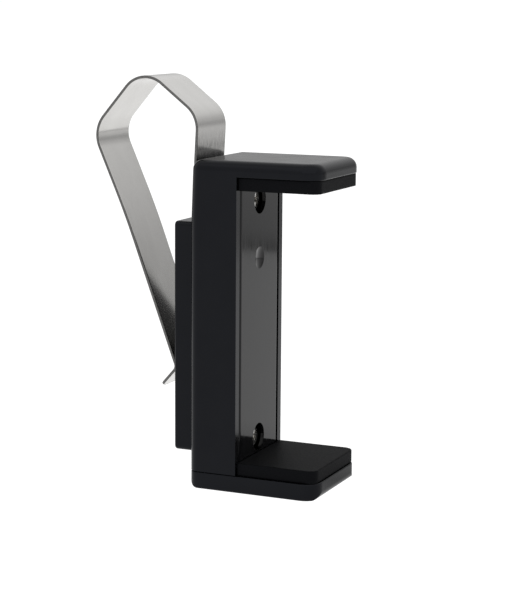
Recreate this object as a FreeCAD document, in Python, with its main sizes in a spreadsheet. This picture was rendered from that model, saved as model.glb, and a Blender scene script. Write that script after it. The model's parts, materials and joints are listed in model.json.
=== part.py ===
"""Spring-jaw device holder with a bent-steel visor clip.

A moulded column carries the fixed upper jaw.  The lower jaw hangs on a steel
slider that runs down out of the column against a tension spring.  A strap of
spring steel is screwed to the back of the column under a moulded block and
loops over to press against that block.

Design frame, millimetres: X = 0 is the back of the column and +X is the side
that the jaws reach towards, Y = 0 is the middle of the width and Z = 0 is the
underside of the lower jaw.  Every sub-part is then placed with the row origin
at the middle of that underside.
"""
import FreeCAD, Part
import math
import os
import Sketcher

DIMENSIONS = (
    # Overall sizes
    ("body_width", 25.3, "width of column and jaws"),
    ("column_depth", 11.5, "column, back to front"),
    ("jaw_reach", 30.6, "back of column to front of jaws"),
    ("jaw_opening", 60.0, "clear height between the closed pads"),
    ("jaw_thickness", 3.5, "upper jaw without its pad"),
    ("tray_thickness", 3.8, "lower jaw without its pad"),
    ("jaw_travel", 30.0, "how far the lower jaw pulls down"),
    ("seam_gap", 0.15, "line between column and lower jaw"),
    # Roundings of the mouldings
    ("jaw_corner", 4.0, "plan radius of the jaws' front corners"),
    ("column_corner", 2.2, "plan radius of the back corners"),
    ("back_relief", 0.45, "column's back, in from plumb at its top"),
    ("relief_start", 60.3, "height where the back starts to lean in"),
    ("top_edge", 2.2, "radius round the top of the upper jaw"),
    ("foot_edge", 0.5, "radius round the foot of the lower jaw"),
    ("heel_radius", 2.6, "side-view radius of the lower jaw's back end"),
    ("toe_radius", 1.8, "side-view radius of the lower jaw's front end"),
    ("small_edge", 0.3, "small radius on moulded edges"),
    # Foam pads
    ("pad_thickness", 2.9, "foam pad"),
    ("pad_side_inset", 0.7, "pad edge in from the jaw's side"),
    ("pad_front_inset", 0.45, "pad edge in from the jaw's front"),
    ("pad_corner", 2.2, "plan radius of the pads' front corners"),
    ("pad_gap", 0.05, "pad to slider plate"),
    # Column channel
    ("side_wall", 1.85, "side wall of the column"),
    ("back_wall", 2.0, "back wall of the column"),
    ("groove_back", 4.5, "guide groove, from the column's back"),
    ("groove_width", 1.2, "guide groove"),
    ("groove_depth", 0.8, "guide groove, into the side wall"),
    # Slider plate
    ("sheet", 0.8, "steel of the slider"),
    ("slider_width", 21.2, "front web of the slider"),
    ("slider_top", 68.8, "top of the slider when closed"),
    ("slider_bend", 1.0, "outer bend radius of the slider"),
    ("flange_depth", 6.8, "slider flange, front to back"),
    ("ear_reach", 0.8, "slider ear, out from its flange"),
    ("ear_low", 38.5, "underside of the slider ears when closed"),
    ("tab_reach", 11.0, "slider tab under the lower pad"),
    ("tab_width", 14.0, "slider tab under the lower pad"),
    ("tab_clearance", 0.1, "slider tab in its seat"),
    ("window", 6.2, "round window in front of each anchor screw"),
    ("dimple", 4.9, "width of the pressed dimple"),
    ("dimple_depth", 0.35, "depth of the pressed dimple"),
    ("dimple_height", 50.8, "dimple above the foot"),
    # Spring and its anchor screws
    ("anchor_high", 63.7, "upper anchor screw above the foot"),
    ("anchor_low", 10.1, "lower anchor screw above the foot"),
    ("anchor_face", 10.3, "screw head's face from the column's back"),
    ("anchor_head", 5.4, "anchor screw head"),
    ("anchor_head_height", 1.8, "anchor screw head"),
    ("anchor_shank", 2.6, "anchor screw shank"),
    ("anchor_length", 5.6, "anchor screw under its head"),
    ("boss_width", 6.4, "boss round each anchor screw"),
    ("boss_face", 6.3, "boss face from the column's back"),
    ("coil_width", 4.4, "outside of the spring coil"),
    ("wire", 0.6, "spring wire"),
    ("coil_axis", 7.25, "spring axis from the column's back"),
    ("coil_end_gap", 6.0, "anchor screw to the first coil"),
    ("hook_clearance", 0.05, "spring hook round its screw"),
    ("jaw_block_width", 12.0, "upright block of the lower jaw"),
    ("jaw_block_top", 14.5, "upright block above the foot"),
    ("jaw_block_gap", 0.4, "upright block clear of the back wall"),
    # Back block and strap
    ("block_width", 17.8, "back block"),
    ("block_depth", 5.3, "back block"),
    ("block_low", 7.3, "back block's lower end above the foot"),
    ("block_high", 59.05, "back block's upper end above the foot"),
    ("block_corner", 1.0, "radius round the back block"),
    ("strap_width", 14.6, "spring-steel strap"),
    ("strap_sheet", 0.6, "spring-steel strap"),
    ("strap_standoff", 0.6, "lands that hold the strap off the column"),
    ("land_width", 7.0, "round land behind each back screw"),
    ("strap_low", 12.3, "hidden end of the strap above the foot"),
    ("lean_start", 72.3, "height where the strap starts to lean forward"),
    ("strap_lean", 0.34, "how far the strap has leaned forward at its split"),
    ("strap_split", 78.7, "where the strap starts to bend"),
    ("strap_split_gap", 0.15, "between the strap's fixed and flexing lengths"),
    ("strap_clearance", 0.2, "strap in the block's recess, each side"),
    ("strap_tip_corner", 1.5, "radius of the strap's tip corners"),
    # Screws
    ("back_screw_low", 19.3, "lower back screw above the foot"),
    ("back_screw_high", 48.3, "upper back screw above the foot"),
    ("back_screw_head", 4.4, "back screw head"),
    ("back_screw_head_height", 1.4, "back screw head"),
    ("back_screw_shank", 2.4, "back screw shank"),
    ("back_screw_length", 6.0, "back screw under its head"),
    ("tab_screw_head", 3.6, "countersunk head in the slider tab"),
    ("tab_screw_shank", 2.0, "countersunk screw shank"),
    ("tab_screw_length", 2.9, "countersunk screw, with its head"),
    ("tab_screw_head_height", 0.8, "countersunk head"),
    ("tab_screw_pitch", 8.0, "between the two countersunk screws"),
    ("tab_screw_reach", 18.0, "countersunk screws from the column's back"),
    ("head_rounding", 0.6, "rim radius of the pan heads"),
    ("recess_depth", 0.7, "cross recess in a screw head"),
    ("recess_width", 0.7, "cross recess in a screw head"),
    ("recess_reach", 2.6, "cross recess, tip to tip"),
    ("recess_turn", 45.0, "turn of the cross recess in degrees"),
)

# Corners of the strap's centreline past the end of its root, seen from the side,
# and the bend radius at each: first bend, crown, rear bend, the leg's slight bow
# and the heel.
STRAP_BENDS = (
    ((-0.38, 82.12), 6.2),
    ((-14.0, 92.65), 6.3),
    ((-26.4, 78.2), 6.6),
    ((-18.1, 59.5), 200.0),
    ((-5.55, 25.7), 1.5),
)
STRAP_TIP = (-9.4, 21.3)

TURN_PITCH = 2.2    # spacing of the spring's turns, in wire widths
LEAD_PULL = 0.58    # how far each lead keeps its end directions, in coil radii


def vector(x, y, z):
    return FreeCAD.Vector(x, y, z)


# ---------------------------------------------------------------- the document

def make_sheet(doc):
    """Write the driving dimensions into a spreadsheet, one alias a row."""
    sheet = doc.addObject("Spreadsheet::Sheet", "Sizes")
    for row, (alias, value, meaning) in enumerate(DIMENSIONS, start=1):
        sheet.set(f"A{row}", alias)
        sheet.set(f"B{row}", str(value))
        sheet.set(f"C{row}", meaning)
        sheet.setAlias(f"B{row}", alias)
    doc.recompute()
    return sheet


def sized(expression):
    """Turn an expression in plain aliases into one that names the sheet."""
    words = {alias for alias, _, _ in DIMENSIONS}
    text = ""
    word = ""
    for character in expression + " ":
        if character.isalnum() or character == "_":
            word += character
            continue
        text += "Sizes." + word if word in words else word
        text += character
        word = ""
    return text.strip()


def number(doc, expression):
    """The present value of an expression in the sheet's aliases."""
    result = doc.Sizes.evalExpression(sized(expression))
    return float(getattr(result, "Value", result))


def bind(item, prop, expression):
    item.setExpression(prop, sized(expression))


def new_body(doc, label):
    """A body placed with the row origin at the middle of the foot."""
    body = doc.addObject("PartDesign::Body", label)
    body.Label = label
    bind(body, "Placement.Base.x", "-jaw_reach / 2")
    return body


def new_sketch(body, role, name, offset="0"):
    """A sketch on one of the body's origin planes, moved along its normal."""
    plane = next(item for item in body.Origin.OriginFeatures if item.Role == role)
    sketch = body.newObject("Sketcher::SketchObject", name)
    sketch.AttachmentSupport = [(plane, "")]
    sketch.MapMode = "FlatFace"
    bind(sketch, "AttachmentOffset.Base.z", offset)
    return sketch


def draw_polygon(sketch, corners):
    """A closed outline whose corners are bound to pairs of expressions."""
    doc = sketch.Document
    points = [vector(number(doc, x), number(doc, y), 0) for x, y in corners]
    count = len(points)
    first = sketch.GeometryCount
    for index, point in enumerate(points):
        sketch.addGeometry(Part.LineSegment(point, points[(index + 1) % count]), False)
    for index, (x, y) in enumerate(corners):
        line = first + index
        following = first + (index + 1) % count
        sketch.addConstraint(Sketcher.Constraint("Coincident", line, 2, following, 1))
        for kind, expression in (("DistanceX", x), ("DistanceY", y)):
            value = number(doc, expression)
            place = sketch.addConstraint(Sketcher.Constraint(kind, -1, 1, line, 1, value))
            bind(sketch, f"Constraints[{place}]", expression)


def draw_rectangle(sketch, left, low, right, high):
    draw_polygon(sketch, ((left, low), (right, low), (right, high), (left, high)))


def draw_circle(sketch, x, y, diameter):
    doc = sketch.Document
    centre = vector(number(doc, x), number(doc, y), 0)
    radius = number(doc, f"({diameter}) / 2")
    circle = sketch.addGeometry(Part.Circle(centre, vector(0, 0, 1), radius), False)
    place = sketch.addConstraint(Sketcher.Constraint("Diameter", circle, 2 * radius))
    bind(sketch, f"Constraints[{place}]", diameter)
    for kind, value, expression in (("DistanceX", centre.x, x), ("DistanceY", centre.y, y)):
        place = sketch.addConstraint(Sketcher.Constraint(kind, -1, 1, circle, 3, value))
        bind(sketch, f"Constraints[{place}]", expression)


def draw_fixed(sketch, outline):
    """Add lines and arcs to a sketch and hold them where they are."""
    for geometry in outline:
        index = sketch.addGeometry(geometry, False)
        sketch.addConstraint(Sketcher.Constraint("Block", index))


def pad(body, sketch, name, length, midplane=False, back=False):
    feature = body.newObject("PartDesign::Pad", name)
    feature.Profile = sketch
    feature.Midplane = midplane
    feature.Reversed = back
    bind(feature, "Length", length)
    return feature


def pocket(body, sketch, name, length, along_normal=False, midplane=False):
    """Cut a sketch into the body and make sure that it took material away."""
    before = solid_volume(body)
    feature = body.newObject("PartDesign::Pocket", name)
    feature.Profile = sketch
    feature.Midplane = midplane
    feature.Reversed = along_normal
    bind(feature, "Length", length)
    if solid_volume(body) >= before:
        raise RuntimeError(f"{body.Label}: {name} cuts nothing")
    return feature


def solid_volume(body):
    body.Document.recompute()
    return body.Shape.Volume


def round_edges(body, name, radius, wanted):
    """Fillet the edges that the test picks out of the body's present shape."""
    body.Document.recompute()
    base = body.Tip
    edges = base.Shape.Edges
    picked = [f"Edge{index}" for index, edge in enumerate(edges, start=1) if wanted(edge)]
    if not picked:
        raise RuntimeError(f"{body.Label}: {name} finds no edge")
    fillet = body.newObject("PartDesign::Fillet", name)
    fillet.Base = (base, picked)
    bind(fillet, "Radius", radius)
    body.Document.recompute()
    return fillet


# ------------------------------------------------------------- picking of edges

def near(value, target):
    return abs(value - target) < 0.01


def upright_near(depth, reach, lean=0.01):
    """Test for an edge that stands at the depth, at least reach off centre."""
    def wanted(edge):
        box = edge.BoundBox
        standing = box.ZLength > 1.0 and box.XLength < lean + 0.01 and box.YLength < 0.01
        return standing and abs(box.XMin - depth) < lean + 0.01 and abs(box.YMin) > reach
    return wanted


def level_at(height, beyond=-1.0):
    """Test for an edge in the level plane at the height, beyond a depth."""
    def wanted(edge):
        box = edge.BoundBox
        return near(box.ZMin, height) and near(box.ZMax, height) and box.XMax > beyond
    return wanted


# ---------------------------------------------------------------- the mouldings

def make_housing(doc):
    """Column and upper jaw: one moulding with a channel open to the front."""
    body = new_body(doc, "housing")
    under_jaw = "tray_thickness + 2 * pad_thickness + jaw_opening"
    total = f"{under_jaw} + jaw_thickness"
    low = "tray_thickness + seam_gap"
    side = new_sketch(body, "XZ_Plane", "side_outline")
    draw_polygon(side, (
        ("0", low), ("column_depth", low), ("column_depth", under_jaw),
        ("jaw_reach", under_jaw), ("jaw_reach", total), ("back_relief", total),
        ("0", "relief_start")))
    pad(body, side, "solid_column", "body_width", midplane=True)
    front = number(doc, "jaw_reach")
    relief = number(doc, "back_relief")
    round_edges(body, "back_corners", "column_corner", upright_near(0, 5, relief))
    round_edges(body, "jaw_corners", "jaw_corner", upright_near(front, 5))
    round_edges(body, "top_rounding", "top_edge", level_at(number(doc, total)))
    under_edges = level_at(number(doc, under_jaw), beyond=number(doc, "column_depth") + 1)
    round_edges(body, "jaw_underside", "small_edge", under_edges)

    channel = new_sketch(body, "XY_Plane", "channel_outline", low)
    half = "(body_width / 2 - side_wall)"
    draw_rectangle(channel, "back_wall", f"-{half}", "column_depth + 1", half)
    pocket(body, channel, "channel", f"{under_jaw} - {low}", along_normal=True)
    make_guide_grooves(body, half, under_jaw)
    make_anchor_boss(body)
    make_strap_lands(body)
    return body


def make_guide_grooves(body, half, top):
    """Grooves in both side walls, closed at the end of the slider's travel."""
    groove_low = "ear_low - jaw_travel"
    outline = new_sketch(body, "XY_Plane", "groove_outline", groove_low)
    reach = f"({half} + groove_depth)"
    draw_rectangle(outline, "groove_back", f"-{reach}", "groove_back + groove_width", reach)
    pocket(body, outline, "guide_grooves", f"{top} - ({groove_low})", along_normal=True)


def make_anchor_boss(body):
    """Boss on the back wall that takes the spring's upper anchor screw."""
    boss = new_sketch(body, "YZ_Plane", "boss_outline", "back_wall - 0.5")
    draw_circle(boss, "0", "anchor_high", "boss_width")
    pad(body, boss, "anchor_boss", "boss_face - back_wall + 0.5")
    bore = new_sketch(body, "YZ_Plane", "anchor_bore_outline", "boss_face")
    draw_circle(bore, "0", "anchor_high", "anchor_shank")
    depth = "anchor_length - (anchor_face - anchor_head_height - boss_face)"
    pocket(body, bore, "anchor_bore", depth)


def make_strap_lands(body):
    """Round lands behind the column that carry the strap, bored for its screws."""
    lands = new_sketch(body, "YZ_Plane", "land_outline")
    holes = new_sketch(body, "YZ_Plane", "back_screw_holes")
    for height in ("back_screw_low", "back_screw_high"):
        draw_circle(lands, "0", height, "land_width")
        draw_circle(holes, "0", height, "back_screw_shank")
    pad(body, lands, "strap_lands", "strap_standoff", back=True)
    pocket(body, holes, "back_screw_bores", "2 * back_wall", midplane=True)


def make_lower_jaw(doc):
    """Lower jaw: a tray under column and pad, with an upright spring block."""
    body = new_body(doc, "lower_jaw")
    outline = new_sketch(body, "XY_Plane", "tray_outline")
    draw_rectangle(outline, "0", "-body_width / 2", "jaw_reach", "body_width / 2")
    pad(body, outline, "tray", "tray_thickness")
    front = number(doc, "jaw_reach")
    round_edges(body, "back_corners", "column_corner", upright_near(0, 5))
    round_edges(body, "front_corners", "jaw_corner", upright_near(front, 5))
    round_edges(body, "foot_rounding", "foot_edge", level_at(0))
    sole = new_sketch(body, "XZ_Plane", "sole_outline")
    draw_corner_cut(sole, 0, number(doc, "heel_radius"), 1)
    draw_corner_cut(sole, front, number(doc, "toe_radius"), -1)
    pocket(body, sole, "heel_and_toe", "2 * body_width", midplane=True)
    round_edges(body, "rim_edges", "small_edge", level_at(number(doc, "tray_thickness")))
    make_jaw_block(body)
    make_tab_seat(body)
    return body


def draw_corner_cut(sketch, corner, radius, inward):
    """Outline of what is cut away to round one lower corner, seen from the side."""
    centre = vector(corner + inward * radius, radius, 0)
    high = vector(corner, radius, 0)
    low = vector(centre.x, 0, 0)
    middle = centre - vector(inward, 1, 0) * (radius / math.sqrt(2))
    outer_low = vector(centre.x, -1, 0)
    outside = vector(corner - inward, -1, 0)
    outer_high = vector(corner - inward, radius, 0)
    outline = [Part.Arc(high, middle, low)]
    for start, end in ((low, outer_low), (outer_low, outside), (outside, outer_high), (outer_high, high)):
        outline.append(Part.LineSegment(start, end))
    draw_fixed(sketch, outline)


def make_jaw_block(body):
    """Upright block behind the slider, with the lower anchor screw's bore."""
    block = new_sketch(body, "XZ_Plane", "block_outline")
    back = "back_wall + jaw_block_gap"
    draw_rectangle(block, back, "tray_thickness / 2", "boss_face", "jaw_block_top")
    pad(body, block, "upright_block", "jaw_block_width", midplane=True)
    bore = new_sketch(body, "YZ_Plane", "anchor_bore_outline", "boss_face")
    draw_circle(bore, "0", "anchor_low", "anchor_shank")
    pocket(body, bore, "anchor_bore", "2 * (boss_face - back_wall)")


def make_tab_seat(body):
    """Shallow seat for the slider's tab, with bores for its two screws."""
    seat = new_sketch(body, "XY_Plane", "seat_outline", "tray_thickness")
    back = "column_depth - sheet"
    draw_rectangle(seat, back, "-tab_width / 2", f"{back} + tab_reach", "tab_width / 2")
    pocket(body, seat, "tab_seat", "sheet")
    bores = new_sketch(body, "XY_Plane", "tab_bore_outline", "tray_thickness - sheet")
    for side in ("-", ""):
        draw_circle(bores, "tab_screw_reach", f"{side}tab_screw_pitch / 2", "tab_screw_shank")
    pocket(body, bores, "tab_bores", "tab_screw_length - sheet")


def make_back_block(doc):
    """Moulded block on the column's back, hollowed for the strap's root."""
    body = new_body(doc, "back_block")
    outline = new_sketch(body, "YZ_Plane", "block_outline", "-block_depth")
    half = "block_width / 2"
    draw_rectangle(outline, f"-{half}", "block_low", half, "block_high")
    pad(body, outline, "block", "block_depth")
    back = -number(doc, "block_depth")
    round_edges(body, "block_corners", "block_corner", lambda edge: across_depth(edge, back))
    round_edges(body, "block_rim", "small_edge * 2", lambda edge: edge_in_depth(edge, back))
    recess = new_sketch(body, "YZ_Plane", "recess_outline")
    reach = "(strap_width / 2 + strap_clearance)"
    draw_rectangle(recess, f"-{reach}", "strap_low - strap_clearance", reach, "block_high + 1")
    pocket(body, recess, "strap_recess", "strap_standoff + strap_sheet + strap_clearance / 2")
    bores = new_sketch(body, "YZ_Plane", "screw_bore_outline")
    for height in ("back_screw_low", "back_screw_high"):
        draw_circle(bores, "0", height, "back_screw_shank")
    pocket(body, bores, "screw_bores", "back_screw_length - back_wall")
    return body


def across_depth(edge, back):
    """Test for an edge that runs from the block's back to its front."""
    box = edge.BoundBox
    return near(box.XMin, back) and near(box.XMax, 0)


def edge_in_depth(edge, depth):
    """Test for an edge that lies in the upright plane at the depth."""
    box = edge.BoundBox
    return near(box.XMin, depth) and near(box.XMax, depth)


# --------------------------------------------------------------------- the pads

def make_pad(doc, label, low):
    """Foam pad of one jaw, cut to follow the jaw's front corners."""
    body = new_body(doc, label)
    outline = new_sketch(body, "XY_Plane", "pad_outline", low)
    half = "(body_width / 2 - pad_side_inset)"
    front = "jaw_reach - pad_front_inset"
    draw_rectangle(outline, "column_depth + pad_gap", f"-{half}", front, half)
    pad(body, outline, "foam", "pad_thickness")
    round_edges(body, "foam_corners", "pad_corner", upright_near(number(doc, front), 5))
    return body


# ------------------------------------------------------------------- the slider

def make_slider(doc):
    """Pressed steel slider: web, two flanges, guide ears and a fixing tab."""
    body = new_body(doc, "slider_plate")
    channel = new_sketch(body, "XY_Plane", "channel_outline", "tray_thickness")
    half = "(slider_width / 2)"
    inner = f"({half} - sheet)"
    back = "column_depth - flange_depth"
    draw_polygon(channel, (
        (back, f"-{half}"), ("column_depth", f"-{half}"), ("column_depth", half),
        (back, half), (back, inner), ("column_depth - sheet", inner),
        ("column_depth - sheet", f"-{inner}"), (back, f"-{inner}")))
    pad(body, channel, "channel", "slider_top - tray_thickness")
    front = number(doc, "column_depth")
    round_edges(body, "outer_bends", "slider_bend", upright_near(front, 5))
    make_ears(body, back, half)
    make_tab(body)
    windows = new_sketch(body, "YZ_Plane", "window_outline", "column_depth")
    for height in ("anchor_low", "anchor_high"):
        draw_circle(windows, "0", height, "window")
    pocket(body, windows, "windows", "2 * sheet")
    make_dimple(body)
    return body


def make_ears(body, back, half):
    """Ears turned out from the upper part of the flanges into the grooves."""
    ears = new_sketch(body, "XY_Plane", "ear_outline", "ear_low")
    for side in ("-", ""):
        root = f"{side}({half} - sheet / 2)"
        tip = f"{side}({half} + ear_reach)"
        draw_rectangle(ears, back, root, f"{back} + sheet", tip)
    pad(body, ears, "guide_ears", "slider_top - ear_low")


def make_tab(body):
    """Tab bent forward into the lower jaw's seat, drilled for two screws."""
    tab = new_sketch(body, "XY_Plane", "tab_outline", "tray_thickness - sheet")
    back = "column_depth - sheet"
    half = "(tab_width / 2 - tab_clearance)"
    draw_rectangle(tab, back, f"-{half}", f"{back} + tab_reach - tab_clearance", half)
    pad(body, tab, "fixing_tab", "sheet")
    for name, side in (("right", "-"), ("left", "")):
        head = body.newObject("PartDesign::SubtractiveCone", f"countersink_{name}")
        bind(head, "Radius1", "tab_screw_shank / 2")
        bind(head, "Radius2", "tab_screw_head / 2")
        bind(head, "Height", "tab_screw_head_height")
        bind(head, "Placement.Base.x", "tab_screw_reach")
        bind(head, "Placement.Base.y", f"{side}tab_screw_pitch / 2")
        bind(head, "Placement.Base.z", "tray_thickness - sheet")


def make_dimple(body):
    """Round dimple pressed back into the web, standing out behind it."""
    doc = body.Document
    width = number(doc, "dimple")
    depth = number(doc, "dimple_depth")
    sheet = number(doc, "sheet")
    height = number(doc, "dimple_height")
    web_front = number(doc, "column_depth")
    hollow_radius = (width ** 2 / 4 + depth ** 2) / (2 * depth)
    centre = vector(web_front - depth + hollow_radius, height, 0)
    dome_radius = hollow_radius + sheet
    edge_depth = web_front - sheet / 2
    edge_rise = math.sqrt(dome_radius ** 2 - (centre.x - edge_depth) ** 2)
    apex = vector(centre.x - dome_radius, height, 0)
    rim = vector(edge_depth, height + edge_rise, 0)
    foot = vector(edge_depth, height, 0)
    angle = math.acos((edge_depth - centre.x) / dome_radius)
    middle_angle = (angle + math.pi) / 2
    middle = centre + dome_radius * vector(math.cos(middle_angle), math.sin(middle_angle), 0)
    profile = new_sketch(body, "XZ_Plane", "dimple_profile")
    profile.addGeometry(Part.LineSegment(apex, foot), False)
    profile.addGeometry(Part.LineSegment(foot, rim), False)
    profile.addGeometry(Part.Arc(rim, middle, apex), False)
    for index in range(3):
        profile.addConstraint(Sketcher.Constraint("Block", index))
    profile.addGeometry(Part.LineSegment(apex, foot), True)
    dome = body.newObject("PartDesign::Revolution", "dimple_back")
    dome.Profile = profile
    dome.ReferenceAxis = (profile, ["Axis0"])
    dome.Angle = 360
    hollow = body.newObject("PartDesign::SubtractiveSphere", "dimple_hollow")
    hollow.Radius = hollow_radius
    hollow.Placement.Base = vector(centre.x, 0, height)


# ------------------------------------------------------------------- the screws

def make_pan_screws(doc, label, heights, size):
    """Pan-head screws along X, one solid at each height, with cross recesses."""
    screws = []
    for index, height in enumerate(heights, start=1):
        head = doc.addObject("Part::Cylinder", f"{label}_head_{index}")
        bind(head, "Radius", f"{size['head']} / 2")
        bind(head, "Height", size["head_height"])
        dome = doc.addObject("Part::Fillet", f"{label}_dome_{index}")
        dome.Base = head
        doc.recompute()
        rounding = number(doc, "head_rounding")
        dome.Edges = [(rim_number(head.Shape), rounding, rounding)]
        shank = doc.addObject("Part::Cylinder", f"{label}_shank_{index}")
        bind(shank, "Radius", f"{size['shank']} / 2")
        bind(shank, "Height", f"{size['length']} + 0.2")
        bind(shank, "Placement.Base.z", f"-({size['length']})")
        whole = doc.addObject("Part::Fuse", f"{label}_blank_{index}")
        whole.Base = dome
        whole.Tool = shank
        cut = doc.addObject("Part::Cut", f"{label}_{index}")
        cut.Base = whole
        cut.Tool = make_cross(doc, f"{label}_recess_{index}", size["head_height"])
        cut.Placement.Rotation = FreeCAD.Rotation(vector(0, 1, 0), 90)
        bind(cut, "Placement.Base.x", f"-jaw_reach / 2 + {size['seat']}")
        bind(cut, "Placement.Base.z", height)
        screws.append(cut)
    return label_group(doc, label, screws)


def rim_number(shape):
    """Number of the circular edge at the top of an upright cylinder."""
    top = shape.BoundBox.ZMax
    for index, edge in enumerate(shape.Edges, start=1):
        if near(edge.BoundBox.ZMin, top):
            return index
    raise RuntimeError("no rim on the screw head")


def make_cross(doc, name, face):
    """Cross recess: two crossed slots sunk into the head from its face."""
    slots = []
    for length, width in (("recess_reach", "recess_width"), ("recess_width", "recess_reach")):
        slot = doc.addObject("Part::Box", f"{name}_{length}")
        bind(slot, "Length", length)
        bind(slot, "Width", width)
        bind(slot, "Height", "recess_depth + 0.2")
        bind(slot, "Placement.Base.x", f"-{length} / 2")
        bind(slot, "Placement.Base.y", f"-{width} / 2")
        bind(slot, "Placement.Base.z", f"{face} - recess_depth")
        slots.append(slot)
    cross = doc.addObject("Part::Fuse", name)
    cross.Base = slots[0]
    cross.Tool = slots[1]
    bind(cross, "Placement.Rotation.Angle", "recess_turn")
    return cross


def label_group(doc, label, screws):
    """Give one screw, or a compound of several separate ones, its node's label."""
    if len(screws) == 1:
        screws[0].Label = label
        return screws[0]
    group = doc.addObject("Part::Compound", label)
    group.Links = screws
    group.Label = label
    return group


def make_tab_screws(doc):
    """Two countersunk screws that hold the slider's tab down in its seat."""
    screws = []
    for name, side in (("right", "-"), ("left", "")):
        head = doc.addObject("Part::Cone", f"tab_screw_head_{name}")
        bind(head, "Radius1", "tab_screw_shank / 2")
        bind(head, "Radius2", "tab_screw_head / 2")
        bind(head, "Height", "tab_screw_head_height")
        shank = doc.addObject("Part::Cylinder", f"tab_screw_shank_{name}")
        bind(shank, "Radius", "tab_screw_shank / 2")
        bind(shank, "Height", "tab_screw_length - tab_screw_head_height + 0.1")
        bind(shank, "Placement.Base.z", "tab_screw_head_height - tab_screw_length")
        whole = doc.addObject("Part::Fuse", f"tab_screw_{name}")
        whole.Base = head
        whole.Tool = shank
        bind(whole, "Placement.Base.x", "-jaw_reach / 2 + tab_screw_reach")
        bind(whole, "Placement.Base.y", f"{side}tab_screw_pitch / 2")
        bind(whole, "Placement.Base.z", "tray_thickness - tab_screw_head_height")
        screws.append(whole)
    return label_group(doc, "tab_screws", screws)


# ------------------------------------------------------------------- the spring

def make_spring(doc):
    """Tension spring: one wire from hook to hook, coiled between them."""
    wire = number(doc, "wire")
    mean_radius = number(doc, "(coil_width - wire) / 2")
    low = number(doc, "anchor_low + coil_end_gap")
    high = number(doc, "anchor_high - coil_end_gap")
    turns = round((high - low) / (TURN_PITCH * wire))
    pitch = (high - low) / turns
    coil = Part.makeHelix(pitch, high - low, mean_radius)
    coil.translate(vector(0, 0, low))
    heading = vector(0, 2 * math.pi * mean_radius, pitch).normalize()
    hook_radius = number(doc, "anchor_shank / 2 + wire / 2 + hook_clearance")
    lower = make_hook(number(doc, "anchor_low"), low, -1, mean_radius, hook_radius, heading)
    upper = make_hook(number(doc, "anchor_high"), high, 1, mean_radius, hook_radius, heading)
    path = Part.Wire(lower + coil.Edges + upper)
    section = Part.Circle(vector(0, hook_radius, number(doc, "anchor_low")), vector(0, 0, 1), wire / 2)
    spring = doc.addObject("Part::Feature", "return_spring")
    spring.Label = "return_spring"
    spring.Shape = path.makePipeShell([Part.Wire([section.toShape()])], True, True)
    spring.Placement.Base = vector(number(doc, "coil_axis - jaw_reach / 2"), 0, 0)
    return spring


def make_hook(anchor, coil_end, outward, coil_radius, hook_radius, heading):
    """One end of the wire, in the order that it is drawn from bottom to top.

    outward is -1 below the coil and 1 above it.  The hook is half a loop round
    the anchor screw, a straight leg, and a lead that runs into the coil.
    """
    leg_side = outward * hook_radius
    screw_end = vector(0, leg_side, anchor)
    loop_top = vector(0, 0, anchor + outward * hook_radius)
    free_end = vector(0, -leg_side, anchor)
    shoulder = vector(0, leg_side, coil_end + outward * coil_radius)
    join = vector(coil_radius, 0, coil_end)
    pull = LEAD_PULL * coil_radius
    up = vector(0, 0, 1)
    lead = Part.BezierCurve()
    if outward < 0:
        lead.setPoles([shoulder, shoulder + up * pull, join - heading * pull, join])
        loop = Part.Arc(free_end, loop_top, screw_end)
        leg = Part.LineSegment(screw_end, shoulder)
        return [loop.toShape(), leg.toShape(), lead.toShape()]
    lead.setPoles([join, join + heading * pull, shoulder - up * pull, shoulder])
    leg = Part.LineSegment(shoulder, screw_end)
    loop = Part.Arc(screw_end, loop_top, free_end)
    return [lead.toShape(), leg.toShape(), loop.toShape()]


# -------------------------------------------------------------------- the strap

def strap_route(start, bends, tip):
    """Centreline of the strap as lines and tangent arcs.

    Each entry is ("line", start, end) or ("arc", start, middle, end, centre).
    """
    corners = [start] + [vector(x, z, 0) for (x, z), _ in bends] + [vector(tip[0], tip[1], 0)]
    route = []
    position = start
    for index, (_, radius) in enumerate(bends, start=1):
        arriving = (corners[index] - corners[index - 1]).normalize()
        leaving = (corners[index + 1] - corners[index]).normalize()
        turn = arriving.getAngle(leaving)
        reach = radius * math.tan(turn / 2)
        arc_start = corners[index] - arriving * reach
        arc_end = corners[index] + leaving * reach
        inward = (leaving - arriving).normalize()
        centre = corners[index] + inward * (radius / math.cos(turn / 2))
        middle = centre - inward * radius
        route.append(("line", position, arc_start))
        route.append(("arc", arc_start, middle, arc_end, centre))
        position = arc_end
    route.append(("line", position, corners[-1]))
    return route


def offset_piece(piece, distance):
    """One piece of a route moved sideways, to the left of its direction."""
    if piece[0] == "line":
        _, start, end = piece
        along = (end - start).normalize()
        shift = vector(-along.y, along.x, 0) * distance
        return ("line", start + shift, end + shift)
    _, start, middle, end, centre = piece
    left_turn = (middle - start).cross(end - middle).z > 0
    radius = (start - centre).Length
    scale = (radius - distance if left_turn else radius + distance) / radius
    moved = [centre + (point - centre) * scale for point in (start, middle, end)]
    return ("arc", *moved, centre)


def edge_of(piece):
    if piece[0] == "line":
        return Part.LineSegment(piece[1], piece[2])
    return Part.Arc(piece[1], piece[2], piece[3])


def draw_strip(sketch, route, thickness):
    """Closed outline of a strip of one thickness along a route."""
    left = [offset_piece(piece, thickness / 2) for piece in route]
    right = [offset_piece(piece, -thickness / 2) for piece in route]
    outline = [edge_of(piece) for piece in left]
    outline.append(Part.LineSegment(end_of(left[-1]), end_of(right[-1])))
    outline += [edge_of(piece) for piece in right]
    outline.append(Part.LineSegment(right[0][1], left[0][1]))
    draw_fixed(sketch, outline)


def end_of(piece):
    return piece[2] if piece[0] == "line" else piece[3]


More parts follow.
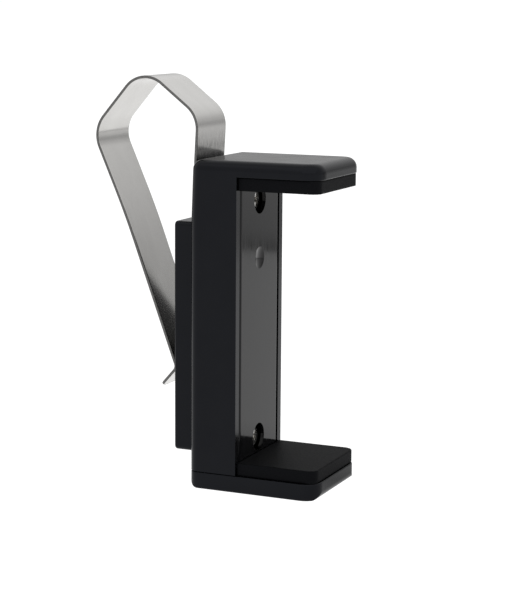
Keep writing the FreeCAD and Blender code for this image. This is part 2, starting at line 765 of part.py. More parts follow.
def make_strap_root(doc):
    """Root of the strap: upright between lands and block, leaning forward above."""
    body = new_body(doc, "strap_root")
    side = new_sketch(body, "XZ_Plane", "root_outline")
    top = "strap_split - strap_split_gap / 2"
    front = "-strap_standoff"
    back = "-strap_standoff - strap_sheet"
    draw_polygon(side, (
        (back, "strap_low"), (front, "strap_low"), (front, "lean_start"),
        (f"{front} + strap_lean", top), (f"{back} + strap_lean", top), (back, "lean_start")))
    pad(body, side, "root", "strap_width", midplane=True)
    holes = new_sketch(body, "YZ_Plane", "screw_hole_outline")
    for height in ("back_screw_low", "back_screw_high"):
        draw_circle(holes, "0", height, "back_screw_shank")
    pocket(body, holes, "screw_holes", "3 * (strap_standoff + strap_sheet)", midplane=True)
    return body


def make_strap_arm(doc):
    """Flexing length of the strap: crown, rear bend, long leg and lip."""
    body = new_body(doc, "strap_arm")
    sheet = number(doc, "strap_sheet")
    start_depth = number(doc, "strap_lean - strap_standoff - strap_sheet / 2")
    start = vector(start_depth, number(doc, "strap_split + strap_split_gap / 2"), 0)
    side = new_sketch(body, "XZ_Plane", "arm_outline")
    draw_strip(side, strap_route(start, STRAP_BENDS, STRAP_TIP), sheet)
    pad(body, side, "arm", "strap_width", midplane=True)
    tip = vector(STRAP_TIP[0], 0, STRAP_TIP[1])
    round_edges(body, "tip_corners", "strap_tip_corner", lambda edge: at_strap_tip(edge, tip, sheet))
    return body


def at_strap_tip(edge, tip, sheet):
    """Test for the two short edges at the corners of the strap's tip."""
    middle = edge.CenterOfMass
    flat_distance = math.hypot(middle.x - tip.x, middle.z - tip.z)
    return flat_distance < 0.1 and near(edge.Length, sheet)


# ------------------------------------------------------------------- the export

def make_parts(doc):
    anchor = {"head": "anchor_head", "head_height": "anchor_head_height",
              "shank": "anchor_shank", "length": "anchor_length",
              "seat": "anchor_face - anchor_head_height"}
    back_screw = {"head": "back_screw_head", "head_height": "back_screw_head_height",
                  "shank": "back_screw_shank", "length": "back_screw_length",
                  "seat": "back_wall"}
    upper_pad_low = "tray_thickness + pad_thickness + jaw_opening"
    return [
        make_housing(doc),
        make_lower_jaw(doc),
        make_pad(doc, "upper_pad", upper_pad_low),
        make_pad(doc, "lower_pad", "tray_thickness"),
        make_slider(doc),
        make_tab_screws(doc),
        make_pan_screws(doc, "upper_anchor_screw", ["anchor_high"], anchor),
        make_pan_screws(doc, "lower_anchor_screw", ["anchor_low"], anchor),
        make_pan_screws(doc, "back_screws", ["back_screw_low", "back_screw_high"], back_screw),
        make_spring(doc),
        make_back_block(doc),
        make_strap_root(doc),
        make_strap_arm(doc),
    ]


def check(doc, parts):
    """Stop if anything failed to build."""
    for item in doc.Objects:
        if "Invalid" in item.State or "Error" in item.State:
            raise RuntimeError(f"{item.Name} failed: {item.State}")
    for part in parts:
        if part.Shape.isNull() or not part.Shape.isValid():
            raise RuntimeError(f"{part.Label} has no valid shape")


def main():
    doc = FreeCAD.newDocument("device_holder")
    make_sheet(doc)
    parts = make_parts(doc)
    doc.recompute()
    check(doc, parts)
    os.makedirs("parts", exist_ok=True)
    for part in parts:
        part.Shape.exportStep(f"parts/{part.Label}.step")
        box = part.Shape.BoundBox
        solids = len(part.Shape.Solids)
        print(f"{part.Label:20s} {solids} solid(s) {part.Shape.Volume:9.2f} mm3 "
              f"x {box.XMin:7.2f} {box.XMax:7.2f} y {box.YMin:7.2f} {box.YMax:7.2f} "
              f"z {box.ZMin:7.2f} {box.ZMax:7.2f}")


main()
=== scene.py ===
"""Looks of the clip-on device holder: materials, foam, strap, spring, light and camera.

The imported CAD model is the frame.  The mouldings, the slider and the screws keep
their CAD shapes.  The foam pads, the strap and the spring are built here.
"""
import json
import math

import bmesh
import bpy
from mathutils import Matrix, Vector, noise


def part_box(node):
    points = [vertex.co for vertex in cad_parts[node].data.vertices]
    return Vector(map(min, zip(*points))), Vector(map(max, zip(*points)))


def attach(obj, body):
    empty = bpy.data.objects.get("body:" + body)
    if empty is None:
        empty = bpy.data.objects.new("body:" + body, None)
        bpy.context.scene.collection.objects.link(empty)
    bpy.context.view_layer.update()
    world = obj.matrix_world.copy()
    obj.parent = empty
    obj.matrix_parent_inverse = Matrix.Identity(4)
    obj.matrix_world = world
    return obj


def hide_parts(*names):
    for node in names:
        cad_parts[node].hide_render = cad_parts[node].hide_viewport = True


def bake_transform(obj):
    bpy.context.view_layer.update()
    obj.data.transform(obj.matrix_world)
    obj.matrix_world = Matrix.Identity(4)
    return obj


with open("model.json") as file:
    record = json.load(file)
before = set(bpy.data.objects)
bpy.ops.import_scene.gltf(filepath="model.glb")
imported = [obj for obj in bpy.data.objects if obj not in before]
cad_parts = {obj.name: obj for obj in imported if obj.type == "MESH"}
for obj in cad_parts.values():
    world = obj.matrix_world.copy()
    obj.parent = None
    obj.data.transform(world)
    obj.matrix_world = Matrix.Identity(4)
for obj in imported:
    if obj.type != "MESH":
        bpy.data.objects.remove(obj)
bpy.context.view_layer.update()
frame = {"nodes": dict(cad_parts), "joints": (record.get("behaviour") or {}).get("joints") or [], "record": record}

MM = 0.001
NODES = frame["nodes"]
RECORD = frame["record"]
JOINTS = {joint["name"]: joint for joint in frame["joints"]}
SLOT_COLOUR = {slot["slot"]: slot["base_color"] for slot in RECORD["materials"]}

# The camera looks at this point from this direction.  Azimuth 0 looks along +Y.
CAMERA_TARGET = Vector((-4.27, 0, 41.22)) * MM
CAMERA_AZIMUTH = math.radians(23.81)
CAMERA_ELEVATION = math.radians(9.45)
CAMERA_ROLL = math.radians(0.40)
CAMERA_DISTANCE = 401 * MM
CAMERA_LENS = 108.0
CAMERA_NEAR = 10 * MM

# Corners of the strap's centreline above its straight root, as (x, z) measured
# from the back of the column and the foot, and the bend radius at each: the lean
# above the block, the first bend, the crown, the rear bend, the leg and the heel.
STRAP_BENDS = (
    ((-0.9, 72.3), 6.0),
    ((-0.38, 82.12), 6.2),
    ((-14.0, 92.65), 6.3),
    ((-26.4, 78.2), 6.6),
    ((-18.1, 59.5), 200.0),
    ((-5.55, 25.7), 1.5),
)
STRAP_TIP = (-9.4, 21.3)
STRAP_SHEET = 0.6 * MM
STRAP_TIP_CORNER = 1.5 * MM
STRAP_EDGE = 0.12 * MM
STRAP_EDGE_EASE = 0.3
STRAP_STEP = 0.45 * MM

# Points over the strap's width, as shares of its half width, and how many more
# there are round each of its edges.
STRAP_SHARES = (-0.94, -0.7, -0.35, 0, 0.35, 0.7, 0.94)
STRAP_SIDE_POINTS = 4

# The strap is scuffed where it leaves the housing.  The scuffs fade out between
# these two distances along it from the low end of its root.
SCUFF_LOW = 63.0 * MM
SCUFF_HIGH = 67.5 * MM

# The spring's coils begin a gap away from the centres of its two screws.  Their
# pitch is in thicknesses of wire, and the pull shapes the wire between hook and coil.
SPRING_WIRE = 0.6 * MM
SPRING_END_GAP = 6.0 * MM
SPRING_PITCH = 2.2
SPRING_LEAD_PULL = 0.58
SPRING_TURN_STEPS = 20
SPRING_LOOP_STEPS = 10
SPRING_WIRE_SIDES = 10

# The foam's skin: the size of its mesh, the depths of its pits and waves, how many
# of each there are to the metre, and the share of their depth that goes sideways.
FOAM_MESH = 0.16 * MM
FOAM_PIT_DEPTH = 0.02 * MM
FOAM_WAVE_DEPTH = 0.012 * MM
FOAM_PITS = 2600
FOAM_WAVES = 180
FOAM_SIDE_SHARE = 0.2

# The backdrop stands behind the object, and its tones run up it as (height, tone).
BACKDROP_DEPTH = 0.345
BACKDROP_WIDTH = 1.6
BACKDROP_HEIGHT = 0.26
BACKDROP_TONES = (
    (0.0, 0.3), (0.002, 0.35), (0.005, 0.55), (0.01, 0.68), (0.02, 0.72),
    (0.03, 0.8), (0.055, 0.74), (0.085, 0.54), (0.105, 0.47), (0.12, 0.5),
    (0.135, 0.6), (0.17, 0.68), (0.2, 0.86), (0.24, 1.0), (0.26, 1.0),
)

# What reflections see of the floor carries a painted shadow of the foot: dimmer round a point just ahead of the
# foot, as (distance from that point, tone), out to the reach.
FLOOR_TONES = ((0.0, 0.42), (0.012, 0.6), (0.02, 0.75), (0.032, 0.9), (0.045, 1.0))
FLOOR_SHADE = (0.019, 0.008)
FLOOR_REACH = 0.06
FLOOR_GLOW = 1.15
FLOOR_CARD_GAP = 0.05 * MM

# The floor glows by itself, and its grey adds some of the light that falls on it.
FLOOR_SIZE = 40
FLOOR_GAP = 0.5 * MM
FLOOR_GREY = 0.25
FLOOR_OWN_LIGHT = 0.88
WORLD_LIGHT = 1.02

KEY_PLACE = (0.25, -0.55, 0.75)
KEY_AIM = (0, 0, 0.04)
KEY_SIZE = (1.6, 1.2)
KEY_POWER = 2


# ---------------------------------------------------------------- node helpers

class Shader:
    """A material's node tree, with short ways to add and join nodes."""

    def __init__(self, name):
        self.material = bpy.data.materials.new(name)
        self.material.use_nodes = True
        self.tree = self.material.node_tree
        self.surface = self.tree.nodes["Principled BSDF"]

    def add(self, kind, **inputs):
        node = self.tree.nodes.new(kind)
        for name, value in inputs.items():
            self.give(node, name.replace("_", " "), value)
        return node

    def give(self, node, name, value):
        """Set an input to a value, or join it to another node's output."""
        if isinstance(value, bpy.types.NodeSocket):
            self.tree.links.new(value, node.inputs[name])
        else:
            node.inputs[name].default_value = value

    def set(self, name, value):
        self.give(self.surface, name, value)

    def place(self, stretch=(1, 1, 1)):
        """Object coordinates in metres, stretched along each axis."""
        coordinates = self.add("ShaderNodeTexCoord")
        mapping = self.add("ShaderNodeMapping", Vector=coordinates.outputs["Object"], Scale=stretch)
        return mapping.outputs["Vector"]

    def grain(self, vector, per_metre, detail, roughness=0.5):
        """Fractal noise with the given number of features to the metre."""
        node = self.add("ShaderNodeTexNoise", Vector=vector, Scale=per_metre, Detail=detail,
                        Roughness=roughness)
        return node.outputs["Fac"]

    def spread(self, value, low, high, from_low=0.0, from_high=1.0):
        """Map a value's range onto another."""
        node = self.tree.nodes.new("ShaderNodeMapRange")
        for name, number in (("Value", value), ("From Min", from_low), ("From Max", from_high),
                             ("To Min", low), ("To Max", high)):
            self.give(node, name, number)
        return node.outputs["Result"]

    def mix(self, share, first, second):
        node = self.tree.nodes.new("ShaderNodeMix")
        node.data_type = "RGBA"
        self.give(node, "Factor", share)
        colours = [socket for socket in node.inputs if socket.type == "RGBA"]
        for socket, colour in zip(colours, (first, second)):
            if isinstance(colour, bpy.types.NodeSocket):
                self.tree.links.new(colour, socket)
            else:
                socket.default_value = (*colour[:3], 1)
        return next(socket for socket in node.outputs if socket.type == "RGBA")

    def math(self, operation, first, second=0.0):
        node = self.tree.nodes.new("ShaderNodeMath")
        node.operation = operation
        for socket, value in zip(node.inputs, (first, second)):
            if isinstance(value, bpy.types.NodeSocket):
                self.tree.links.new(value, socket)
            else:
                socket.default_value = value
        return node.outputs["Value"]

    def bump(self, height, depth, strength):
        node = self.add("ShaderNodeBump", Height=height, Distance=depth, Strength=strength)
        return node.outputs["Normal"]


def tinted(colour, factor):
    return tuple(channel * factor for channel in colour[:3])


# -------------------------------------------------------------------- materials

def moulded_plastic(name):
    """Black satin moulding: fine spark-eroded grain and faint handling sheen."""
    shader = Shader(name)
    colour = SLOT_COLOUR["black_moulding"]
    place = shader.place()
    fine = shader.grain(place, per_metre=5200, detail=1.5)
    cloudy = shader.grain(place, per_metre=190, detail=3)
    shader.set("Base Color", shader.mix(cloudy, tinted(colour, 0.12), tinted(colour, 0.3)))
    shader.set("Roughness", shader.spread(cloudy, 0.15, 0.21, from_low=0.3, from_high=0.7))
    shader.set("Specular IOR Level", 0.148)
    shader.set("Specular Tint", (0.83, 0.88, 1.0, 1))
    shader.set("Normal", shader.bump(fine, depth=0.008 * MM, strength=0.5))
    return shader.material


def foam(name):
    """Black closed-cell foam: dull, with the cut cells showing as fine pits."""
    shader = Shader(name)
    colour = SLOT_COLOUR["foam"]
    place = shader.place()
    cells = shader.add("ShaderNodeTexVoronoi", Vector=place, Scale=FOAM_PITS)
    speckle = shader.grain(place, per_metre=4200, detail=2)
    shader.set("Base Color", shader.mix(speckle, tinted(colour, 0.1), tinted(colour, 0.5)))
    shader.set("Roughness", 0.55)
    shader.set("Specular IOR Level", 0.042)
    shader.set("Specular Tint", (0.8, 0.86, 1.0, 1))
    shader.set("Normal", shader.bump(cells.outputs["Distance"], depth=0.06 * MM, strength=0.5))
    return shader.material


def gloss_black_steel(name):
    """Gloss black coating on rolled sheet: near mirror with a faint orange peel."""
    shader = Shader(name)
    colour = SLOT_COLOUR["black_slider"]
    peel = shader.grain(shader.place(stretch=(1, 1, 0.25)), per_metre=420, detail=1)
    haze = shader.grain(shader.place(stretch=(1, 1, 0.08)), per_metre=1500, detail=4)
    shader.set("Base Color", shader.mix(haze, tinted(colour, 0.2), tinted(colour, 0.7)))
    shader.set("Roughness", shader.spread(haze, 0.05, 0.12, from_low=0.3, from_high=0.7))
    shader.set("Specular IOR Level", 0.16)
    shader.set("Normal", shader.bump(peel, depth=0.004 * MM, strength=0.35))
    return shader.material


def strap_steel(name, along, across):
    """Rolled spring steel: lengthwise grain, cloudy tone, scuffs where it comes out.

    along and across name the mesh attributes, in metres, that run along the
    strap's length and over its width.
    """
    shader = Shader(name)
    colour = SLOT_COLOUR["strap_steel"]
    length = shader.add("ShaderNodeAttribute")
    length.attribute_name = along
    width = shader.add("ShaderNodeAttribute")
    width.attribute_name = across
    flat = shader.tree.nodes.new("ShaderNodeCombineXYZ")
    shader.give(flat, "X", length.outputs["Fac"])
    shader.give(flat, "Y", width.outputs["Fac"])

    def pattern(per_metre, detail, roughness):
        """Noise with these numbers of features to the metre along and across."""
        place = shader.add("ShaderNodeMapping", Vector=flat.outputs["Vector"], Scale=(*per_metre, 1))
        return shader.grain(place.outputs["Vector"], per_metre=1.0, detail=detail, roughness=roughness)

    streaks = pattern((60, 7000), detail=3, roughness=0.6)
    clouds = pattern((120, 260), detail=4, roughness=0.6)
    scuffs = pattern((500, 2200), detail=4, roughness=0.7)
    tone = shader.mix(streaks, tinted(colour, 0.7), tinted(colour, 0.86))
    cloudy = shader.spread(clouds, 0, 0.4, from_low=0.35, from_high=0.75)
    tone = shader.mix(cloudy, tone, tinted(colour, 0.66))
    low_end = shader.spread(length.outputs["Fac"], 1.0, 0.0, from_low=SCUFF_LOW, from_high=SCUFF_HIGH)
    patchy = shader.spread(scuffs, 0.3, 0.8, from_low=0.35, from_high=0.65)
    scuffed = shader.math("MULTIPLY", low_end, patchy)
    shader.set("Base Color", shader.mix(scuffed, tone, tinted(colour, 0.18)))
    shader.set("Metallic", 1.0)
    worn = shader.math("ADD", shader.spread(streaks, 0.13, 0.2), shader.spread(clouds, -0.03, 0.06))
    shader.set("Roughness", worn)
    shader.set("Anisotropic", 0.3)
    shader.set("Normal", shader.bump(streaks, depth=0.002 * MM, strength=0.35))
    return shader.material


def cut_steel(name):
    """Sheared edge of the strap: darker, with ragged lines across it."""
    shader = Shader(name)
    colour = SLOT_COLOUR["strap_steel"]
    ragged = shader.grain(shader.place(stretch=(1, 0.15, 1)), per_metre=5000, detail=2)
    shader.set("Base Color", shader.mix(ragged, tinted(colour, 0.06), tinted(colour, 0.22)))
    shader.set("Metallic", 0.6)
    shader.set("Roughness", 0.5)
    shader.set("Normal", shader.bump(ragged, depth=0.01 * MM, strength=0.6))
    return shader.material


def plated_steel(name, slot, roughness):
    """Plated screw or wire: bright and a little cloudy."""
    shader = Shader(name)
    colour = SLOT_COLOUR[slot]
    place = shader.place()
    cloudy = shader.grain(place, per_metre=1800, detail=3)
    shader.set("Base Color", shader.mix(cloudy, tinted(colour, 0.9), tinted(colour, 1.3)))
    shader.set("Metallic", 1.0)
    shader.set("Roughness", shader.spread(cloudy, roughness * 0.8, roughness * 1.25))
    shader.set("Normal", shader.bump(cloudy, depth=0.004 * MM, strength=0.5))
    return shader.material


def coat(node, material):
    """Give a CAD node's own mesh a material."""
    mesh = NODES[node].data
    mesh.materials.clear()
    mesh.materials.append(material)


# ------------------------------------------------------------------- swept shapes

def skin_rings(build, rings, slot_of=lambda index: 0, cap_slot=0):
    """Smooth skin over a run of rings, closed at both ends."""
    count = len(rings[0])
    for near, far in zip(rings, rings[1:]):
        for index in range(count):
            following = (index + 1) % count
            face = build.faces.new((near[index], near[following], far[following], far[index]))
            face.smooth = True
            face.material_index = slot_of(index)
    build.faces.new(reversed(rings[0])).material_index = cap_slot
    build.faces.new(rings[-1]).material_index = cap_slot
    bmesh.ops.recalc_face_normals(build, faces=build.faces)


def add_piece(build, name, *materials):
    """An object made of what has been built."""
    mesh = bpy.data.meshes.new(name)
    build.to_mesh(mesh)
    build.free()
    piece = bpy.data.objects.new(name, mesh)
    bpy.context.scene.collection.objects.link(piece)
    for material in materials:
        mesh.materials.append(material)
    return piece


# ------------------------------------------------------------------ the foam pads

def make_foam(node, body, material):
    """Foam pad cut from sheet: crisp die-cut edges and fine surface cells."""
    piece = bpy.data.objects.new(f"{node}_foam", NODES[node].data.copy())
    bpy.context.scene.collection.objects.link(piece)
    remesh = piece.modifiers.new("even_mesh", "REMESH")
    remesh.mode = "VOXEL"
    remesh.voxel_size = FOAM_MESH
    smooth = piece.modifiers.new("soft_edges", "SMOOTH")
    smooth.factor = 0.5
    smooth.iterations = 3
    low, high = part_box(node)
    evaluated = piece.evaluated_get(bpy.context.evaluated_depsgraph_get())
    piece.data = bpy.data.meshes.new_from_object(evaluated)
    piece.modifiers.clear()
    centre = (low + high) / 2
    for vertex in piece.data.vertices:
        pits = noise.noise(vertex.co * FOAM_PITS)
        waves = noise.noise(vertex.co * FOAM_WAVES)
        inward = (centre - vertex.co).normalized()
        depth = FOAM_PIT_DEPTH * max(0.0, pits) + FOAM_WAVE_DEPTH * (1 + waves)
        side = FOAM_SIDE_SHARE
        push = Vector((inward.x * side, inward.y * side, math.copysign(1, inward.z)))
        vertex.co += push * depth
        for axis in range(3):
            vertex.co[axis] = min(max(vertex.co[axis], low[axis]), high[axis])
    for polygon in piece.data.polygons:
        polygon.use_smooth = True
    piece.data.materials.clear()
    piece.data.materials.append(material)
    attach(piece, body)
    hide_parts(node)


# ---------------------------------------------------------------------- the strap

def bent_line(corners, radii, step):
    """Points along straight runs joined by tangent arcs, a step apart in bends."""
    points = [corners[0]]
    for before, corner, after, radius in zip(corners, corners[1:], corners[2:], radii):
        arriving = (corner - before).normalized()
        leaving = (after - corner).normalized()
        turn = arriving.angle(leaving)
        reach = radius * math.tan(turn / 2)
        inward = (leaving - arriving).normalized()
        centre = corner + inward * (radius / math.cos(turn / 2))
        spoke = corner - arriving * reach - centre
        axis = arriving.cross(leaving).normalized()
        count = max(2, math.ceil(radius * turn / step))
        for index in range(count + 1):
            points.append(centre + Matrix.Rotation(turn * index / count, 3, axis) @ spoke)
    points.append(corners[-1])
    return fill_runs(points, step)


def fill_runs(points, step):
    """The same line with its long runs divided evenly."""
    filled = [points[0]]
    for start, end in zip(points, points[1:]):
        count = max(1, math.ceil((end - start).length / step))
        filled += [start.lerp(end, index / count) for index in range(1, count + 1)]
    return filled


def strap_route():
    """Centreline of the strap from the end of its root to its tip."""
    root_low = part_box("strap_root")[0]
    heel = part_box("lower_jaw")[0]
    corners = [Vector((root_low.x + STRAP_SHEET / 2, 0, root_low.z))]
    for x, z in [corner for corner, _ in STRAP_BENDS] + [STRAP_TIP]:
        corners.append(Vector((heel.x + x * MM, 0, heel.z + z * MM)))
    return bent_line(corners, [radius * MM for _, radius in STRAP_BENDS], STRAP_STEP)


def strap_section(half_width, half_sheet):
    """Corners of the strap's section, (across, outward), with its edges eased."""
    edge = STRAP_EDGE
    ease = edge * STRAP_EDGE_EASE
    flat = half_width - edge
    widths = [-flat, *(half_width * share for share in STRAP_SHARES), flat]
    top = [(width, half_sheet) for width in widths]
    side = [(half_width - ease, half_sheet - ease), (half_width, half_sheet - edge),
            (half_width, edge - half_sheet), (half_width - ease, ease - half_sheet)]
    half = top + side
    return half + [(-width, -outward) for width, outward in half]


def strap_slot(index):
    """Material slot of a face round the strap: 0 on its two flats, 1 on its edges."""
    flat_points = len(STRAP_SHARES) + 2
    return 0 if index % (flat_points + STRAP_SIDE_POINTS) < flat_points - 1 else 1


def tip_cut(left):
    """How much narrower each side of the strap is, this far from its tip."""
    if left >= STRAP_TIP_CORNER:
        return 0.0
    return STRAP_TIP_CORNER - math.sqrt(STRAP_TIP_CORNER ** 2 - (STRAP_TIP_CORNER - left) ** 2)


def make_strap(material, edge_material):
    """The strap as one continuous strip."""
    low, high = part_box("strap_arm")
    half_width = (high.y - low.y) / 2
    half_sheet = STRAP_SHEET / 2
    route = strap_route()
    distances = [0.0]
    for start, end in zip(route, route[1:]):
        distances.append(distances[-1] + (end - start).length)
    build = bmesh.new()
    along = build.verts.layers.float.new("along")
    across = build.verts.layers.float.new("across")
    rings = []
    for index, point in enumerate(route):
        before = route[max(index - 1, 0)]
        after = route[min(index + 1, len(route) - 1)]
        forward = (after - before).normalized()
        outward = Vector((0, 1, 0)).cross(forward)
        cut = tip_cut(distances[-1] - distances[index])
        ring = []
        for y, out in strap_section(half_width - cut, half_sheet):
            vertex = build.verts.new(point + Vector((0, y, 0)) + outward * out)
            vertex[along] = distances[index]
            vertex[across] = y
            ring.append(vertex)
        rings.append(ring)
    skin_rings(build, rings, strap_slot, cap_slot=1)
    piece = add_piece(build, "strap", material, edge_material)
    pivot = Vector(JOINTS["clip_flex"]["pos_m"])
    start = pivot + Vector((-half_sheet, 0, 0))
    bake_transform(piece)
    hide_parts("strap_root", "strap_arm")


# --------------------------------------------------------------------- the spring

def half_loop(centre, radius, outward):
    """Half a loop of wire from its +Y side to its -Y side, outward up or down."""
    points = []
    for index in range(SPRING_LOOP_STEPS + 1):
        angle = math.pi * index / SPRING_LOOP_STEPS
        across = radius * math.cos(angle)
        points.append(centre + Vector((0, across, outward * radius * math.sin(angle))))
    return points


def curved_lead(start, start_heading, end, end_heading, pull):
    """Wire that leaves one point and reaches another in given directions."""
    poles = (start, start + start_heading * pull, end - end_heading * pull, end)
    points = []
    for index in range(1, SPRING_LOOP_STEPS):
        share = index / SPRING_LOOP_STEPS
        rest = 1 - share
        weights = (rest ** 3, 3 * rest ** 2 * share, 3 * rest * share ** 2, share ** 3)
        points.append(sum((pole * weight for pole, weight in zip(poles, weights)), Vector()))
    return points


def screw_centre(screw):
    low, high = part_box(screw)
    return (low + high) / 2


def spring_path():
    """Centreline of the spring's wire, from its lower hook to its upper one."""
    low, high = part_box("return_spring")
    bottom = screw_centre("lower_anchor_screw")
    top = screw_centre("upper_anchor_screw")
    axis = (low.x + high.x) / 2
    radius = (high.x - low.x - SPRING_WIRE) / 2
    hook = high.z - top.z - SPRING_WIRE / 2
    start = bottom.z + SPRING_END_GAP
    length = top.z - SPRING_END_GAP - start
    turns = round(length / (SPRING_PITCH * SPRING_WIRE))
    heading = Vector((0, math.tau * radius, length / turns)).normalized()
    up = Vector((0, 0, 1))
    pull = SPRING_LEAD_PULL * radius
    first_leg = Vector((axis, -hook, start - radius))
    coil_start = Vector((axis + radius, 0, start))
    coil_end = coil_start + up * length
    last_leg = Vector((axis, hook, start + length + radius))
    path = half_loop(Vector((axis, 0, bottom.z)), hook, -1) + [first_leg]
    path += curved_lead(first_leg, up, coil_start, heading, pull)
    steps = turns * SPRING_TURN_STEPS
    for index in range(steps + 1):
        angle = math.tau * index / SPRING_TURN_STEPS
        rise = length * index / steps
        path.append(Vector((axis + radius * math.cos(angle), radius * math.sin(angle), start + rise)))
    path += curved_lead(coil_end, heading, last_leg, up, pull) + [last_leg]
    return path + half_loop(Vector((axis, 0, top.z)), hook, 1)


def make_spring(material):
    """The spring as one round wire."""
    path = spring_path()
    build = bmesh.new()
    side = Vector((1, 0, 0))
    rings = []
    for index, point in enumerate(path):
        forward = (path[min(index + 1, len(path) - 1)] - path[max(index - 1, 0)]).normalized()
        side = (side - forward * side.dot(forward)).normalized()
        other = forward.cross(side)
        ring = []
        for step in range(SPRING_WIRE_SIDES):
            angle = math.tau * step / SPRING_WIRE_SIDES
            spoke = side * math.cos(angle) + other * math.sin(angle)
            ring.append(build.verts.new(point + spoke * (SPRING_WIRE / 2)))
        rings.append(ring)
    skin_rings(build, rings)
    piece = add_piece(build, "spring_wire", material)
    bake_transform(piece)
    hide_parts("return_spring")


# ------------------------------------------------------------- light and camera

def make_key_light():
    """Large soft light above and in front."""
    data = bpy.data.lights.new("key", "AREA")
    data.shape = "RECTANGLE"
    data.size, data.size_y = KEY_SIZE
    data.energy = KEY_POWER
    light = bpy.data.objects.new("key", data)
    light.location = KEY_PLACE
    light.rotation_euler = (Vector(KEY_AIM) - Vector(KEY_PLACE)).to_track_quat("-Z", "Y").to_euler()
    bpy.context.scene.collection.objects.link(light)


def fill_ramp(stops, tones, span):
    """Grey stops at distances along a ramp that covers the span."""
    first, *middle, last = tones
    stops[0].position = first[0] / span
    stops[0].color = (first[1], first[1], first[1], 1)
    stops[-1].position = last[0] / span
    stops[-1].color = (last[1], last[1], last[1], 1)
    for distance, tone in middle:
        stops.new(distance / span).color = (tone, tone, tone, 1)


def light_card(card, shader, glow, strength=1.0):
    """Make a plane glow, and let nothing but reflections see it."""
    shader.set("Base Color", (0, 0, 0, 1))
    shader.set("Specular IOR Level", 0.0)
    shader.set("Emission Color", glow)
    shader.set("Emission Strength", strength)
    card.data.materials.append(shader.material)
    card.visible_camera = False
    card.visible_shadow = False
    card.visible_diffuse = False


def make_backdrop():
    """Grey backdrop behind the object: seen only in reflections, white at its top."""
    bpy.ops.mesh.primitive_plane_add(size=1, location=(0, BACKDROP_DEPTH, BACKDROP_HEIGHT / 2))
    card = bpy.context.object
    card.name = "backdrop"
    card.scale = (BACKDROP_WIDTH, BACKDROP_HEIGHT, 1)
    card.rotation_euler = (math.radians(90), 0, 0)
    shader = Shader("backdrop_glow")
    ramp = shader.tree.nodes.new("ShaderNodeValToRGB")
    place = shader.add("ShaderNodeTexCoord")
    split = shader.add("ShaderNodeSeparateXYZ", Vector=place.outputs["Generated"])
    shader.give(ramp, "Fac", split.outputs["Y"])
    fill_ramp(ramp.color_ramp.elements, BACKDROP_TONES, BACKDROP_HEIGHT)
    light_card(card, shader, ramp.outputs["Color"])


def make_floor():
    """Pale floor, low enough to clear the lower jaw when it is drawn right down."""
    travel = JOINTS["jaw_slide"]["range_m"][1]
    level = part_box("lower_jaw")[0].z - travel - FLOOR_GAP
    bpy.ops.mesh.primitive_plane_add(size=FLOOR_SIZE, location=(0, 0, level))
    floor = bpy.context.object
    floor.name = "floor"
    shader = Shader("pale_floor")
    shader.set("Base Color", (FLOOR_GREY, FLOOR_GREY, FLOOR_GREY, 1))
    shader.set("Roughness", 1.0)
    shader.set("Specular IOR Level", 0.0)
    shader.set("Emission Color", (1, 1, 1, 1))
    shader.set("Emission Strength", FLOOR_OWN_LIGHT)
    floor.data.materials.append(shader.material)
    floor.visible_glossy = False


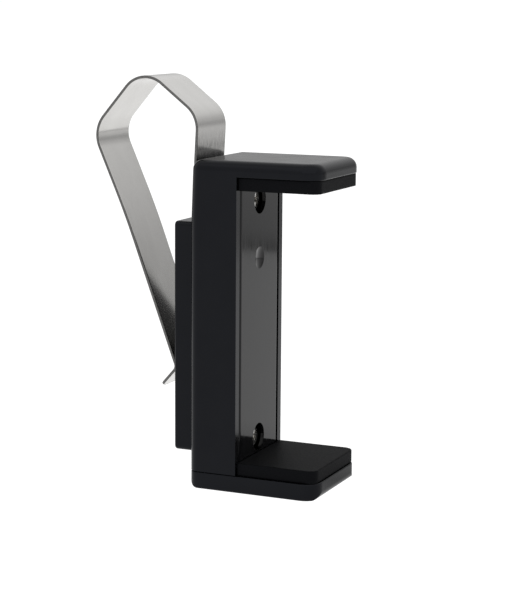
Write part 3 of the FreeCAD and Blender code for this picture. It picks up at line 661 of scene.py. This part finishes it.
def make_floor_reflection():
    """What reflections see in place of the floor: white, with a painted shadow ahead of the foot."""
    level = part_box("lower_jaw")[0].z - FLOOR_CARD_GAP
    bpy.ops.mesh.primitive_plane_add(size=FLOOR_SIZE, location=(*FLOOR_SHADE, level))
    card = bpy.context.object
    card.name = "floor_reflection"
    shader = Shader("floor_glow")
    place = shader.add("ShaderNodeTexCoord")
    away = shader.tree.nodes.new("ShaderNodeVectorMath")
    away.operation = "LENGTH"
    shader.give(away, "Vector", place.outputs["Object"])
    ramp = shader.tree.nodes.new("ShaderNodeValToRGB")
    shader.give(ramp, "Fac", shader.math("DIVIDE", away.outputs["Value"], FLOOR_REACH))
    # The ramp paints the foot's shadow onto what reflections see of the floor.
    fill_ramp(ramp.color_ramp.elements, FLOOR_TONES, FLOOR_REACH)
    light_card(card, shader, ramp.outputs["Color"], FLOOR_GLOW)


def make_world():
    world = bpy.data.worlds.new("studio")
    bpy.context.scene.world = world
    world.use_nodes = True
    background = world.node_tree.nodes["Background"]
    background.inputs["Color"].default_value = (1, 1, 1, 1)
    background.inputs["Strength"].default_value = WORLD_LIGHT


def make_camera():
    level = math.cos(CAMERA_ELEVATION)
    back = Vector((math.sin(CAMERA_AZIMUTH) * level, -math.cos(CAMERA_AZIMUTH) * level,
                   math.sin(CAMERA_ELEVATION)))
    right = Vector((math.cos(CAMERA_AZIMUTH), math.sin(CAMERA_AZIMUTH), 0))
    up = back.cross(right)
    rolled_right = right * math.cos(CAMERA_ROLL) + up * math.sin(CAMERA_ROLL)
    rolled_up = up * math.cos(CAMERA_ROLL) - right * math.sin(CAMERA_ROLL)
    data = bpy.data.cameras.new("camera")
    data.lens = CAMERA_LENS
    data.clip_start = CAMERA_NEAR
    camera = bpy.data.objects.new("camera", data)
    turn = Matrix((rolled_right, rolled_up, back)).transposed().to_4x4()
    camera.matrix_world = Matrix.Translation(CAMERA_TARGET + back * CAMERA_DISTANCE) @ turn
    bpy.context.scene.collection.objects.link(camera)
    bpy.context.scene.camera = camera


# ------------------------------------------------------------------ the whole scene

black = moulded_plastic("satin_black_moulding")
for moulding in ("housing", "lower_jaw", "back_block"):
    coat(moulding, black)
coat("slider_plate", gloss_black_steel("gloss_black_slider"))
bright = plated_steel("plated_screw", "screw_steel", 0.14)
for screw in ("upper_anchor_screw", "lower_anchor_screw", "back_screws", "tab_screws"):
    coat(screw, bright)
make_spring(plated_steel("drawn_wire", "spring_steel", 0.3))

foam_black = foam("cut_foam")
make_foam("upper_pad", "housing", foam_black)
make_foam("lower_pad", "lower_jaw", foam_black)
make_strap(strap_steel("rolled_strap", "along", "across"), cut_steel("cut_strap_edge"))

make_floor()
make_floor_reflection()
make_world()
make_backdrop()
make_key_light()
bpy.context.scene.view_settings.view_transform = "Standard"
make_camera()
